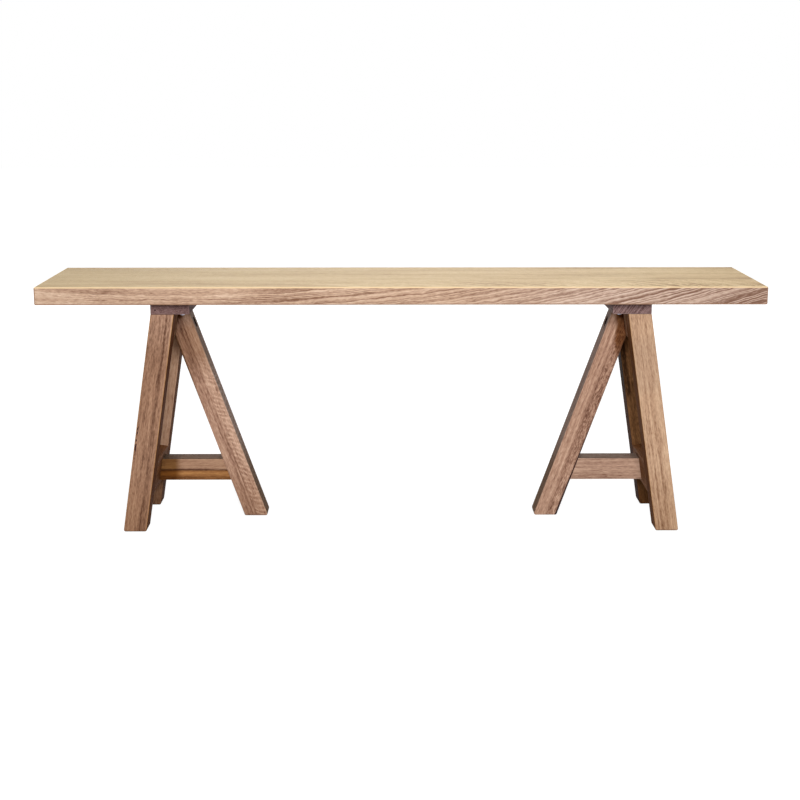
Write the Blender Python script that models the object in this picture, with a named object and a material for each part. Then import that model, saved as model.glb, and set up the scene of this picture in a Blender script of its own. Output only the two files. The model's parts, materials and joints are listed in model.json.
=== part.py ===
"""A solid-wood dining bench: a plank seat on two three-legged trestles.

The seat is three boards glued edge to edge.  Each trestle has a frame of two
outer legs and two cross rails that leans outwards, and a third leg that leans
the other way and is bolted to the frame's upper rail.  A stretcher ties the
third leg to the lower rail.  A bearer caps the trestle and is bolted up into
the seat.

Units are metres.  X runs along the seat, -Y is the front, +Z is up, and the
origin is on the floor under the middle of the seat.  A trestle is described
on the +X side, where "out" is away from the middle of the bench, and the -X
one is its mirror image.
"""

import math

import bmesh
import bpy
from mathutils import Matrix, Vector

# Seat
SEAT_LENGTH = 1.300
SEAT_DEPTH = 0.300
SEAT_THICKNESS = 0.032
SEAT_HEIGHT = 0.457
SEAT_ARRIS = 0.0022
BOARD_NAMES = ("front", "middle", "rear")

# Where the trestles stand under the seat
END_OVERHANG = 0.200
FRONT_OVERHANG = 0.032

# Sticks of a trestle
LEG_WIDTH = 0.0415
LEG_DEPTH = 0.048
RAIL_HEIGHT = 0.058
UPPER_RAIL_THICKNESS = 0.032
STRETCHER_HEIGHT = 0.041
STRETCHER_DEPTH = 0.043
BEARER_THICKNESS = 0.021
STICK_ARRIS = 0.0014
FOOT_ROUNDING = 0.003
BEARER_LEDGE = 0.028

# How the sticks stand
OUTER_LEAN = math.radians(8.7)
INNER_LEAN = math.radians(19.7)
LEG_LAP = 0.010
THIRD_LEG_BACK = 0.015
LOWER_RAIL_RISE = 0.090

# Metal
SEAT_BOLT_DIAMETER = 0.006
SEAT_WASHER_RIM = 0.003
SEAT_WASHER_THICKNESS = 0.0012
DOME_RIM = 0.00175
DOME_HEIGHT = 0.0033
SEAT_BOLT_INSET = 0.030
SEAT_BOLT_OFFSET = 0.0118
SLOT_TRAVEL = 0.004
LEG_BOLT_DIAMETER = 0.008
LEG_WASHER_RIM = 0.004
LEG_WASHER_THICKNESS = 0.0016
CAP_HEAD_RIM = 0.0025
CAP_HEAD_HEIGHT = 0.008
INSERT_WALL = 0.002
COUNTERBORE_CLEARANCE = 0.001
SCREW_DIAMETER = 0.005
SCREW_HEAD_DIAMETER = 0.010
SCREW_SINK = 0.0005

# Loose tenons
TENON_THICKNESS = 0.010
STRETCHER_TENON_REACH = 0.020

# Fits
FIT_GAP = 0.0003
HOLE_RELIEF = 0.001
OVERRUN = 0.010

# Shares of the pieces that carry them
INSERT_SHARE = 0.47
BOLT_HEIGHT_SHARE = 0.50
BOLT_SEAT_SHARE = 0.42
SOCKET_WIDTH_SHARE = 0.375
SOCKET_DEPTH_SHARE = 0.5
DOME_SHOULDER_SHARE = 0.7
DOME_CROWN_SHARE = 0.45
CHAMFER_SHARE = 0.1
TENON_WIDTH_SHARE = 0.6
TENON_IN_LEG_SHARE = 0.5
TENON_IN_RAIL_SHARE = 0.17
LEG_SCREW_ACROSS_SHARE = 0.19
LEG_SCREW_EDGE_SHARE = 0.27
SCREW_BITE_SHARE = 0.68
SCREW_POINT_SHARE = 0.25

# Roundness
BOLT_SIDES = 24
TENON_SIDES = 16
SCREW_SIDES = 12
HEX_CORNERS = 6
ARRIS_SEGMENTS = 2
FOOT_SEGMENTS = 3
SMOOTH_DEGREES = 35

# Heights and places that follow
SEAT_UNDERSIDE = SEAT_HEIGHT - SEAT_THICKNESS
BEARER_TOP = SEAT_UNDERSIDE - FIT_GAP
BEARER_UNDERSIDE = BEARER_TOP - BEARER_THICKNESS
LEG_TOP = BEARER_UNDERSIDE - FIT_GAP
BEARER_OUT = SEAT_LENGTH / 2 - END_OVERHANG
LEG_TOP_WIDTH = LEG_WIDTH / math.cos(OUTER_LEAN)
THIRD_LEG_TOP_WIDTH = LEG_WIDTH / math.cos(INNER_LEAN)
FRAME_FACE_TOP = BEARER_OUT - LEG_TOP_WIDTH
BEARER_IN = FRAME_FACE_TOP - BEARER_LEDGE
THIRD_LEG_FACE_TOP = FRAME_FACE_TOP - LEG_LAP
UPPER_RAIL_SETBACK = (LEG_WIDTH - UPPER_RAIL_THICKNESS) / 2
UPPER_RAIL_FACE_TOP = FRAME_FACE_TOP + UPPER_RAIL_SETBACK / math.cos(OUTER_LEAN)
FRAME_HALF_DEPTH = SEAT_DEPTH / 2 - FRONT_OVERHANG
RAIL_HALF_SPAN = FRAME_HALF_DEPTH - LEG_DEPTH
TENON_IN_RAIL = TENON_IN_RAIL_SHARE * 2 * RAIL_HALF_SPAN
OUTER_RUN = math.tan(OUTER_LEAN)
INNER_RUN = math.tan(INNER_LEAN)
INSERT_LENGTH = INSERT_SHARE * SEAT_THICKNESS


def clear_scene():
    """Take every object out of the file."""
    for thing in list(bpy.data.objects):
        bpy.data.objects.remove(thing, do_unlink=True)


def material(name, colour, roughness, metallic):
    """A Principled material with one colour."""
    finish = bpy.data.materials.new(name)
    finish.use_nodes = True
    shader = finish.node_tree.nodes["Principled BSDF"]
    shader.inputs["Base Color"].default_value = (*colour, 1.0)
    shader.inputs["Roughness"].default_value = roughness
    shader.inputs["Metallic"].default_value = metallic
    finish.diffuse_color = (*colour, 1.0)
    return finish


def mesh_of(name, bm):
    """Turn a bmesh into a mesh with its faces pointing out."""
    bmesh.ops.recalc_face_normals(bm, faces=bm.faces)
    mesh = bpy.data.meshes.new(name)
    bm.to_mesh(mesh)
    bm.free()
    return mesh


def add_object(name, mesh, parent=None, place=None):
    """A named object with this mesh, standing at a place under its parent."""
    thing = bpy.data.objects.new(name, mesh)
    bpy.context.scene.collection.objects.link(thing)
    thing.parent = parent
    if place is not None:
        thing.matrix_local = place
    return thing


def prism(outline, front, back):
    """A bmesh of an XZ outline carried from one Y to another."""
    bm = bmesh.new()
    near = [bm.verts.new((x, front, z)) for x, z in outline]
    face = bm.faces.new(near)
    grown = bmesh.ops.extrude_face_region(bm, geom=[face])
    far = [item for item in grown["geom"] if isinstance(item, bmesh.types.BMVert)]
    bmesh.ops.translate(bm, verts=far, vec=(0, back - front, 0))
    return bm


def rounded_corner(before, corner, after):
    """The points that round a foot's corner of an outline."""
    corner = Vector(corner)
    back = (Vector(before) - corner).normalized()
    onward = (Vector(after) - corner).normalized()
    half = back.angle(onward) / 2
    centre = corner + (back + onward).normalized() * FOOT_ROUNDING / math.sin(half)
    start = (corner + back * FOOT_ROUNDING / math.tan(half) - centre).normalized()
    end = (corner + onward * FOOT_ROUNDING / math.tan(half) - centre).normalized()
    turns = [start.slerp(end, step / FOOT_SEGMENTS) for step in range(FOOT_SEGMENTS + 1)]
    return [tuple(centre + turn * FOOT_ROUNDING) for turn in turns]


def with_round_foot(outline):
    """A leg's outline, whose first two points are the foot, with that foot rounded."""
    first = rounded_corner(outline[-1], outline[0], outline[1])
    second = rounded_corner(outline[0], outline[1], outline[2])
    return first + second + outline[2:]


def ease(bm, width, wanted):
    """Round the sharp edges whose two ends satisfy a test."""
    bmesh.ops.recalc_face_normals(bm, faces=bm.faces)
    sharp = math.radians(SMOOTH_DEGREES)
    edges = [
        edge for edge in bm.edges
        if edge.calc_face_angle() > sharp and wanted(edge.verts[0].co, edge.verts[1].co)
    ]
    bmesh.ops.bevel(
        bm,
        geom=edges,
        offset=width,
        segments=ARRIS_SEGMENTS,
        profile=0.5,
        affect="EDGES",
    )


def ring_points(radius, height, corners, sides):
    """Points round the Z axis: a circle, or a polygon with that inner radius."""
    points = []
    for step in range(sides):
        angle = math.tau * step / sides
        reach = radius
        if corners:
            wedge = math.tau / corners
            reach = radius / math.cos((angle % wedge) - wedge / 2)
        points.append((reach * math.cos(angle), reach * math.sin(angle), height))
    return points


def stack(bm, rings, sides, place, hollow=False, stretch=0):
    """Add a body that stacks (radius, height, corners) rings, standing at a place.

    Heights run along the body's own +Z.  A hollow body's last ring joins its
    first one; any other body gets a flat face over each end.  A stretch draws
    the rings out along the body's own Y, as a slot or a tenon is.
    """
    loops = []
    for radius, height, corners in rings:
        points = [Vector(point) for point in ring_points(radius, height, corners, sides)]
        for point in points:
            point.y += math.copysign(stretch / 2, point.y)
        loops.append([bm.verts.new(place @ point) for point in points])
    pairs = list(zip(loops, loops[1:]))
    if hollow:
        pairs.append((loops[-1], loops[0]))
    for lower, upper in pairs:
        for step in range(sides):
            following = (step + 1) % sides
            bm.faces.new((lower[step], lower[following], upper[following], upper[step]))
    if not hollow:
        bm.faces.new(list(reversed(loops[0])))
        bm.faces.new(loops[-1])


def turned(name, rings, sides, finish, hollow=False, stretch=0):
    """The mesh of a stacked-ring piece, smooth on its round walls only."""
    bm = bmesh.new()
    stack(bm, rings, sides, Matrix.Identity(4), hollow, stretch)
    mesh = mesh_of(name, bm)
    mesh.materials.append(finish)
    mesh.shade_smooth()
    mesh.set_sharp_from_angle(angle=math.radians(SMOOTH_DEGREES))
    return mesh


def aim(point, direction, upright):
    """A placing matrix with its +Z along a direction and its Y near upright."""
    forward = Vector(direction).normalized()
    aside = Vector(upright).cross(forward).normalized()
    columns = Matrix((aside, forward.cross(aside), forward)).transposed()
    return Matrix.Translation(Vector(point)) @ columns.to_4x4()


def drill(piece, name, rings, sides, places, stretch=0):
    """Cut a stacked-ring body out of a piece, once at each place."""
    bm = bmesh.new()
    for place in places:
        stack(bm, rings, sides, place, stretch=stretch)
    cutter = add_object(name, mesh_of(name, bm), piece.parent)
    cutter.hide_render = True
    cutter.display_type = "WIRE"
    cut = piece.modifiers.new(name, "BOOLEAN")
    cut.operation = "DIFFERENCE"
    cut.object = cutter


def plain_hole(radius, start, end):
    """The rings of a straight hole between two heights."""
    return [(radius, start, 0), (radius, end, 0)]


class Trestle:
    """One three-legged trestle, on the side of the bench that its sign says."""

    def __init__(self, label, side):
        self.label = label
        self.side = side
        self.empty = bpy.data.objects.new(f"{label}_trestle", None)
        self.empty.location = (side * BEARER_OUT, 0, BEARER_UNDERSIDE)
        bpy.context.scene.collection.objects.link(self.empty)

    def local(self, out, y, z):
        """A world place on this side, seen from the trestle's empty."""
        return Vector((self.side * (out - BEARER_OUT), y, z - BEARER_UNDERSIDE))

    def outline(self, points):
        """XZ points in the empty's frame for (out, height) points."""
        return [(self.local(out, 0, z).x, self.local(out, 0, z).z) for out, z in points]

    def way(self, out, y, z):
        """A direction mirrored to this side."""
        return Vector((self.side * out, y, z))

    def stick(self, name, bm, finish):
        """A named wooden piece, modelled in the empty's frame."""
        label = f"{self.label}_{name}"
        mesh = mesh_of(label, bm)
        mesh.materials.append(finish)
        return add_object(label, mesh, self.empty)

    def stand(self, name, mesh, place):
        """A named copy of a mesh at a place in the empty's frame."""
        return add_object(f"{self.label}_{name}", mesh, self.empty, place)

    def bore(self, piece, rings, sides, places, stretch=0):
        """Drill a piece of this trestle; each drilling has its own number."""
        name = f"{piece.name}_cut_{len(piece.modifiers) + 1}"
        drill(piece, name, rings, sides, places, stretch)


def frame_face(z):
    """How far out the leaning frame's inner face is at a height."""
    return FRAME_FACE_TOP + (LEG_TOP - z) * OUTER_RUN


def frame_back(z):
    """How far out the leaning frame's outer face is at a height."""
    return frame_face(z) + LEG_TOP_WIDTH


def third_leg_face(z):
    """How far out the third leg's face towards the middle is at a height."""
    return THIRD_LEG_FACE_TOP - (LEG_TOP - z) * INNER_RUN


def third_leg_back(z):
    """How far out the third leg's face towards the frame is at a height."""
    return third_leg_face(z) + THIRD_LEG_TOP_WIDTH


def not_on_top(top):
    """A test that leaves the edges of a butted top cut sharp."""
    def test(a, b):
        return min(a.z, b.z) < top - FIT_GAP
    return test


def along_depth(a, b):
    """A test for the edges that run front to back."""
    return abs(a.x - b.x) < FIT_GAP and abs(a.z - b.z) < FIT_GAP


def across_height(a, b):
    """A test for the long edges of a stick that runs along X."""
    return abs(a.y - b.y) < FIT_GAP and abs(a.z - b.z) < FIT_GAP


def build_board(index, name, finish):
    """One seat board, rounded only on the edges that the seat shows."""
    board_depth = SEAT_DEPTH / len(BOARD_NAMES)
    front = -SEAT_DEPTH / 2 + index * board_depth
    back = front + board_depth
    glue_line = FIT_GAP / 2
    first = index == 0
    last = index == len(BOARD_NAMES) - 1
    front_cut = front if first else front + glue_line
    back_cut = back if last else back - glue_line
    half = SEAT_LENGTH / 2
    outline = [
        (-half, SEAT_UNDERSIDE),
        (half, SEAT_UNDERSIDE),
        (half, SEAT_HEIGHT),
        (-half, SEAT_HEIGHT),
    ]
    bm = prism(outline, front_cut, back_cut)

    def shown(a, b):
        """Front and back edges of the seat, and the edges of its two ends."""
        on_front = first and max(a.y, b.y) < front_cut + FIT_GAP
        on_back = last and min(a.y, b.y) > back_cut - FIT_GAP
        return on_front or on_back or along_depth(a, b)

    ease(bm, SEAT_ARRIS, shown)
    mesh = mesh_of(f"seat_{name}_board", bm)
    mesh.materials.append(finish)
    return add_object(f"seat_{name}_board", mesh)


def build_bearer(trestle, finish):
    """The cap of the trestle, flush with the frame on its outer side."""
    outline = trestle.outline([
        (BEARER_IN, BEARER_UNDERSIDE),
        (BEARER_OUT, BEARER_UNDERSIDE),
        (BEARER_OUT, BEARER_TOP),
        (BEARER_IN, BEARER_TOP),
    ])
    bm = prism(outline, -FRAME_HALF_DEPTH, FRAME_HALF_DEPTH)
    ease(bm, STICK_ARRIS, lambda a, b: True)
    return trestle.stick("bearer", bm, finish)


def build_outer_leg(trestle, name, front, back, finish):
    """A straight leg of the leaning frame, cut level at the top and the foot."""
    outline = trestle.outline([
        (frame_face(0), 0),
        (frame_back(0), 0),
        (frame_back(LEG_TOP), LEG_TOP),
        (frame_face(LEG_TOP), LEG_TOP),
    ])
    bm = prism(with_round_foot(outline), front, back)
    ease(bm, STICK_ARRIS, not_on_top(LEG_TOP - BEARER_UNDERSIDE))
    return trestle.stick(name, bm, finish)


def build_third_leg(trestle, finish):
    """The leg that leans inwards, with a long bevel that beds on the upper rail."""
    bevel_top = UPPER_RAIL_FACE_TOP - FIT_GAP / math.cos(OUTER_LEAN)
    spare = third_leg_back(LEG_TOP) - bevel_top
    bevel_end = LEG_TOP - spare / (OUTER_RUN + INNER_RUN)
    outline = trestle.outline([
        (third_leg_face(0), 0),
        (third_leg_back(0), 0),
        (third_leg_back(bevel_end), bevel_end),
        (bevel_top, LEG_TOP),
        (third_leg_face(LEG_TOP), LEG_TOP),
    ])
    front = THIRD_LEG_BACK - LEG_DEPTH / 2
    bm = prism(with_round_foot(outline), front, front + LEG_DEPTH)
    ease(bm, STICK_ARRIS, not_on_top(bevel_end - BEARER_UNDERSIDE))
    return trestle.stick("inner_leg", bm, finish)


def rail_corner(height, across, along):
    """A point of a rail's section, from a height on the frame's inner face.

    Across runs outwards, square to the face, and along runs down the face.
    """
    out = frame_face(height) + across * math.cos(OUTER_LEAN) + along * math.sin(OUTER_LEAN)
    return out, height + across * math.sin(OUTER_LEAN) - along * math.cos(OUTER_LEAN)


def build_upper_rail(trestle, finish):
    """The rail under the bearer, set back a little from both faces of the legs.

    Its top is cut level and its underside is square.
    """
    setback = UPPER_RAIL_SETBACK
    outline = trestle.outline([
        (UPPER_RAIL_FACE_TOP, LEG_TOP),
        rail_corner(LEG_TOP, setback, RAIL_HEIGHT),
        rail_corner(LEG_TOP, setback + UPPER_RAIL_THICKNESS, RAIL_HEIGHT),
        (UPPER_RAIL_FACE_TOP + UPPER_RAIL_THICKNESS / math.cos(OUTER_LEAN), LEG_TOP),
    ])
    span = RAIL_HALF_SPAN - FIT_GAP
    bm = prism(outline, -span, span)
    top = LEG_TOP - BEARER_UNDERSIDE
    ease(bm, STICK_ARRIS, lambda a, b: along_depth(a, b) and max(a.z, b.z) < top - FIT_GAP)
    return trestle.stick("upper_rail", bm, finish)


def build_lower_rail(trestle, finish):
    """The rail near the feet, square in section and leaning with the frame."""
    half = RAIL_HEIGHT / 2
    outline = trestle.outline([
        rail_corner(LOWER_RAIL_RISE, 0, -half),
        rail_corner(LOWER_RAIL_RISE, 0, half),
        rail_corner(LOWER_RAIL_RISE, LEG_WIDTH, half),
        rail_corner(LOWER_RAIL_RISE, LEG_WIDTH, -half),
    ])
    span = RAIL_HALF_SPAN - FIT_GAP
    bm = prism(outline, -span, span)
    ease(bm, STICK_ARRIS, along_depth)
    return trestle.stick("lower_rail", bm, finish)


def build_stretcher(trestle, finish):
    """The short tie, with its ends cut to the two leans that it meets."""
    low = LOWER_RAIL_RISE - STRETCHER_HEIGHT / 2
    high = low + STRETCHER_HEIGHT
    frame_gap = FIT_GAP / math.cos(OUTER_LEAN)
    leg_gap = FIT_GAP / math.cos(INNER_LEAN)
    outline = trestle.outline([
        (third_leg_back(low) + leg_gap, low),
        (frame_face(low) - frame_gap, low),
        (frame_face(high) - frame_gap, high),
        (third_leg_back(high) + leg_gap, high),
    ])
    front = THIRD_LEG_BACK - STRETCHER_DEPTH / 2
    bm = prism(outline, front, front + STRETCHER_DEPTH)
    ease(bm, STICK_ARRIS, across_height)
    return trestle.stick("stretcher", bm, finish)


def tenon_rings(low, high):
    """A loose tenon with a small chamfer on both ends."""
    radius = TENON_THICKNESS / 2
    chamfer = CHAMFER_SHARE * TENON_THICKNESS
    return [
        (radius - chamfer, low, 0),
        (radius, low + chamfer, 0),
        (radius, high - chamfer, 0),
        (radius - chamfer, high, 0),
    ]


def join_rail(trestle, name, rise, rail, legs, finish):
    """One loose tenon in each end of a rail, upright in its section."""
    in_leg = TENON_IN_LEG_SHARE * LEG_DEPTH
    stretch = TENON_WIDTH_SHARE * RAIL_HEIGHT - TENON_THICKNESS
    hole = TENON_THICKNESS / 2 + FIT_GAP
    rings = tenon_rings(-TENON_IN_RAIL, in_leg)
    mesh = turned(name, rings, TENON_SIDES, finish, stretch=stretch)
    out, z = rail_corner(rise, LEG_WIDTH / 2, 0)
    upright = trestle.way(-math.sin(OUTER_LEAN), 0, math.cos(OUTER_LEAN))
    in_rail_hole = plain_hole(hole, -TENON_IN_RAIL - HOLE_RELIEF, OVERRUN)
    in_leg_hole = plain_hole(hole, -OVERRUN, in_leg + HOLE_RELIEF)
    for label, end, leg in zip(("front", "rear"), (-1, 1), legs):
        place = aim(trestle.local(out, end * RAIL_HALF_SPAN, z), (0, end, 0), upright)
        trestle.stand(f"{name}_{label}_tenon", mesh, place)
        trestle.bore(rail, in_rail_hole, TENON_SIDES, [place], stretch)
        trestle.bore(leg, in_leg_hole, TENON_SIDES, [place], stretch)


def join_stretcher(trestle, stretcher, rail, leg, finish):
    """One loose tenon in each end of the stretcher, upright in its section."""
    reach = STRETCHER_TENON_REACH
    stretch = TENON_WIDTH_SHARE * STRETCHER_HEIGHT - TENON_THICKNESS
    hole = TENON_THICKNESS / 2 + FIT_GAP
    rings = tenon_rings(-reach, reach)
    mesh = turned("stretcher_tenon", rings, TENON_SIDES, finish, stretch=stretch)
    own_hole = plain_hole(hole, -reach - HOLE_RELIEF, OVERRUN)
    far_hole = plain_hole(hole, -OVERRUN, reach + HOLE_RELIEF)
    ends = (
        ("rail", frame_face(LOWER_RAIL_RISE), 1, rail),
        ("leg", third_leg_back(LOWER_RAIL_RISE), -1, leg),
    )
    for label, out, way, neighbour in ends:
        start = trestle.local(out, THIRD_LEG_BACK, LOWER_RAIL_RISE)
        place = aim(start, trestle.way(way, 0, 0), (0, 0, 1))
        trestle.stand(f"stretcher_{label}_tenon", mesh, place)
        trestle.bore(stretcher, own_hole, TENON_SIDES, [place], stretch)
        trestle.bore(neighbour, far_hole, TENON_SIDES, [place], stretch)


def insert_radius(diameter):
    """The outer radius of the threaded insert for a bolt."""
    return diameter / 2 + FIT_GAP + INSERT_WALL


def insert_rings(diameter, start):
    """A threaded insert as a plain tube that begins at a height."""
    bore = diameter / 2 + FIT_GAP
    radius = insert_radius(diameter)
    chamfer = CHAMFER_SHARE * radius
    end = start + INSERT_LENGTH
    return [
        (bore, start, 0),
        (radius, start, 0),
        (radius, end - chamfer, 0),
        (radius - chamfer, end, 0),
        (bore, end, 0),
    ]


def washer_rings(diameter, radius, start, end):
    """A flat washer for a bolt, between two heights."""
    bore = diameter / 2 + FIT_GAP
    return [
        (bore, start, 0),
        (radius, start, 0),
        (radius, end, 0),
        (bore, end, 0),
    ]


def shank_rings(diameter, start, end):
    """The shank of a bolt, with a chamfered tip."""
    radius = diameter / 2
    chamfer = CHAMFER_SHARE * diameter
    return [
        (radius, start, 0),
        (radius, end - chamfer, 0),
        (radius - chamfer, end, 0),
    ]


def socket_rings(diameter, low, height):
    """A hexagonal socket, sunk from the low end of a head."""
    radius = SOCKET_WIDTH_SHARE * diameter
    return [
        (radius, low + SOCKET_DEPTH_SHARE * height, HEX_CORNERS),
        (radius, low, HEX_CORNERS),
    ]


def dome_screw_rings(head_top, tip):
    """A button-head screw whose dome is below a height and whose shank ends at a tip."""
    radius = SEAT_BOLT_DIAMETER / 2 + DOME_RIM
    low = head_top - DOME_HEIGHT
    dome = [
        (DOME_SHOULDER_SHARE * radius, low, 0),
        (radius, low + DOME_CROWN_SHARE * DOME_HEIGHT, 0),
        (radius, head_top, 0),
    ]
    socket = socket_rings(SEAT_BOLT_DIAMETER, low, DOME_HEIGHT)
    return socket + dome + shank_rings(SEAT_BOLT_DIAMETER, head_top, tip)


def cap_screw_rings(head_top, tip):
    """A cap screw with a tall round head."""
    radius = LEG_BOLT_DIAMETER / 2 + CAP_HEAD_RIM
    low = head_top - CAP_HEAD_HEIGHT
    chamfer = CHAMFER_SHARE * CAP_HEAD_HEIGHT
    head = [
        (radius - chamfer, low, 0),
        (radius, low + chamfer, 0),
        (radius, head_top, 0),
    ]
    socket = socket_rings(LEG_BOLT_DIAMETER, low, CAP_HEAD_HEIGHT)
    return socket + head + shank_rings(LEG_BOLT_DIAMETER, head_top, tip)


def bolt_seat(trestle, boards, bearer, steel, brass):
    """Button-head screws with washers, up through slots in the bearer into the seat."""
    diameter = SEAT_BOLT_DIAMETER
    washer_top = -FIT_GAP
    washer_low = washer_top - SEAT_WASHER_THICKNESS
    into_seat = BEARER_THICKNESS + FIT_GAP
    bolt = dome_screw_rings(washer_low - FIT_GAP, into_seat + INSERT_LENGTH)
    bolt_mesh = turned("seat_bolt", bolt, BOLT_SIDES, steel)
    washer = washer_rings(diameter, diameter / 2 + SEAT_WASHER_RIM, washer_low, washer_top)
    washer_mesh = turned("seat_washer", washer, BOLT_SIDES, steel, hollow=True)
    insert = insert_rings(diameter, into_seat + FIT_GAP)
    insert_mesh = turned("seat_insert", insert, BOLT_SIDES, brass, hollow=True)
    slot = plain_hole(diameter / 2 + FIT_GAP, -OVERRUN, BEARER_THICKNESS + OVERRUN)
    hole_end = into_seat + FIT_GAP + INSERT_LENGTH + HOLE_RELIEF
    hole = plain_hole(insert_radius(diameter) + FIT_GAP, BEARER_THICKNESS - OVERRUN, hole_end)
    out = FRAME_FACE_TOP - SEAT_BOLT_OFFSET
    inset = FRAME_HALF_DEPTH - SEAT_BOLT_INSET
    for label, end, board in (("front", -1, boards[0]), ("rear", 1, boards[-1])):
        start = trestle.local(out, end * inset, BEARER_UNDERSIDE)
        place = aim(start, (0, 0, 1), (0, 1, 0))
        trestle.stand(f"seat_{label}_bolt", bolt_mesh, place)
        trestle.stand(f"seat_{label}_bolt_washer", washer_mesh, place)
        trestle.stand(f"seat_{label}_bolt_insert", insert_mesh, place)
        trestle.bore(bearer, slot, BOLT_SIDES, [place], SLOT_TRAVEL)
        world = Matrix.Translation(trestle.empty.location) @ place
        drill(board, f"{board.name}_{trestle.label}_cut", hole, BOLT_SIDES, [world])


def bolt_third_leg(trestle, leg, rail, steel, brass):
    """A cap screw in a counterbore, square to the face that the leg beds on."""
    diameter = LEG_BOLT_DIAMETER
    out, z = rail_corner(LEG_TOP, UPPER_RAIL_SETBACK, BOLT_HEIGHT_SHARE * RAIL_HEIGHT)
    start = trestle.local(out, THIRD_LEG_BACK, z)
    outwards = trestle.way(math.cos(OUTER_LEAN), 0, math.sin(OUTER_LEAN))
    place = aim(start, outwards, (0, 1, 0))
    lap = out - third_leg_face(z)
    wood = lap / (math.cos(OUTER_LEAN) - math.sin(OUTER_LEAN) * INNER_RUN)
    seat = -BOLT_SEAT_SHARE * wood
    washer_top = seat - FIT_GAP
    washer_low = washer_top - LEG_WASHER_THICKNESS
    washer_radius = diameter / 2 + LEG_WASHER_RIM
    bolt = cap_screw_rings(washer_low - FIT_GAP, FIT_GAP + INSERT_LENGTH)
    trestle.stand("leg_bolt", turned("leg_bolt", bolt, BOLT_SIDES, steel), place)
    rings = washer_rings(diameter, washer_radius, washer_low, washer_top)
    washer = turned("leg_washer", rings, BOLT_SIDES, steel, hollow=True)
    trestle.stand("leg_bolt_washer", washer, place)
    insert = insert_rings(diameter, FIT_GAP)
    insert_mesh = turned("leg_insert", insert, BOLT_SIDES, brass, hollow=True)
    trestle.stand("leg_bolt_insert", insert_mesh, place)
    counterbore = washer_radius + COUNTERBORE_CLEARANCE
    hole = diameter / 2 + FIT_GAP
    leg_hole = [
        (counterbore, -wood - 2 * OVERRUN, 0),
        (counterbore, seat, 0),
        (hole, seat, 0),
        (hole, OVERRUN, 0),
    ]
    trestle.bore(leg, leg_hole, BOLT_SIDES, [place])
    rail_hole = plain_hole(
        insert_radius(diameter) + FIT_GAP, -OVERRUN, FIT_GAP + INSERT_LENGTH + HOLE_RELIEF
    )
    trestle.bore(rail, rail_hole, BOLT_SIDES, [place])


def screw_rings(bite):
    """A countersunk wood screw, from its head down to its point."""
    shank = SCREW_DIAMETER / 2
    head = SCREW_HEAD_DIAMETER / 2
    length = BEARER_THICKNESS + bite - SCREW_SINK
    return [
        (head, 0, 0),
        (shank, head - shank, 0),
        (shank, length - SCREW_POINT_SHARE * bite, 0),
        (SCREW_POINT_SHARE * shank, length, 0),
    ]


def screw_hole_rings(bite):
    """The hole of such a screw, a little wider and deeper all round."""
    shank = SCREW_DIAMETER / 2 + FIT_GAP
    head = SCREW_HEAD_DIAMETER / 2 + FIT_GAP
    return [
        (head, -SCREW_SINK - OVERRUN, 0),
        (head, 0, 0),
        (shank, head - shank, 0),
        (shank, BEARER_THICKNESS + bite + HOLE_RELIEF, 0),
    ]


def screw_bearer(trestle, bearer, legs, rail, steel):
    """Screws through the bearer into the outer legs and the upper rail.

    The rail's two screws go midway between the leg bolt's insert and the tenons.
    """
    middle = (FRAME_FACE_TOP + BEARER_OUT) / 2
    across = LEG_SCREW_ACROSS_SHARE * LEG_WIDTH
    edge = FRAME_HALF_DEPTH - LEG_SCREW_EDGE_SHARE * LEG_DEPTH
    insert_side = THIRD_LEG_BACK + insert_radius(LEG_BOLT_DIAMETER)
    spread = (insert_side + RAIL_HALF_SPAN - TENON_IN_RAIL) / 2
    bite = SCREW_BITE_SHARE * RAIL_HEIGHT
    mesh = turned("bearer_screw", screw_rings(bite), SCREW_SIDES, steel)
    hole = screw_hole_rings(bite)
    places = (
        ("front_leg_inner_screw", legs[0], middle - across, -edge),
        ("front_leg_outer_screw", legs[0], middle + across, -edge),
        ("rear_leg_inner_screw", legs[1], middle - across, edge),
        ("rear_leg_outer_screw", legs[1], middle + across, edge),
        ("rail_front_screw", rail, middle, -spread),
        ("rail_rear_screw", rail, middle, spread),
    )
    for name, piece, out, y in places:
        start = trestle.local(out, y, BEARER_TOP - SCREW_SINK)
        place = aim(start, (0, 0, -1), (0, 1, 0))
        trestle.stand(name, mesh, place)
        trestle.bore(piece, hole, SCREW_SIDES, [place])
        trestle.bore(bearer, hole, SCREW_SIDES, [place])


def build_trestle(label, side, boards, finishes):
    """All the pieces of one trestle."""
    trestle = Trestle(label, side)
    wood = finishes["leg_wood"]
    bearer = build_bearer(trestle, finishes["bearer_wood"])
    outer = FRAME_HALF_DEPTH
    inner = RAIL_HALF_SPAN
    front_leg = build_outer_leg(trestle, "outer_front_leg", -outer, -inner, wood)
    rear_leg = build_outer_leg(trestle, "outer_rear_leg", inner, outer, wood)
    legs = (front_leg, rear_leg)
    third_leg = build_third_leg(trestle, wood)
    upper_rail = build_upper_rail(trestle, wood)
    lower_rail = build_lower_rail(trestle, wood)
    stretcher = build_stretcher(trestle, wood)
    beech = finishes["tenon_beech"]
    upper_middle = LEG_TOP - RAIL_HEIGHT * math.cos(OUTER_LEAN) / 2
    join_rail(trestle, "upper_rail", upper_middle, upper_rail, legs, beech)
    join_rail(trestle, "lower_rail", LOWER_RAIL_RISE, lower_rail, legs, beech)
    join_stretcher(trestle, stretcher, lower_rail, third_leg, beech)
    zinc = finishes["zinc_steel"]
    brass = finishes["insert_brass"]
    bolt_third_leg(trestle, third_leg, upper_rail, finishes["dark_steel"], brass)
    screw_bearer(trestle, bearer, legs, upper_rail, zinc)
    bolt_seat(trestle, boards, bearer, zinc, brass)


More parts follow.
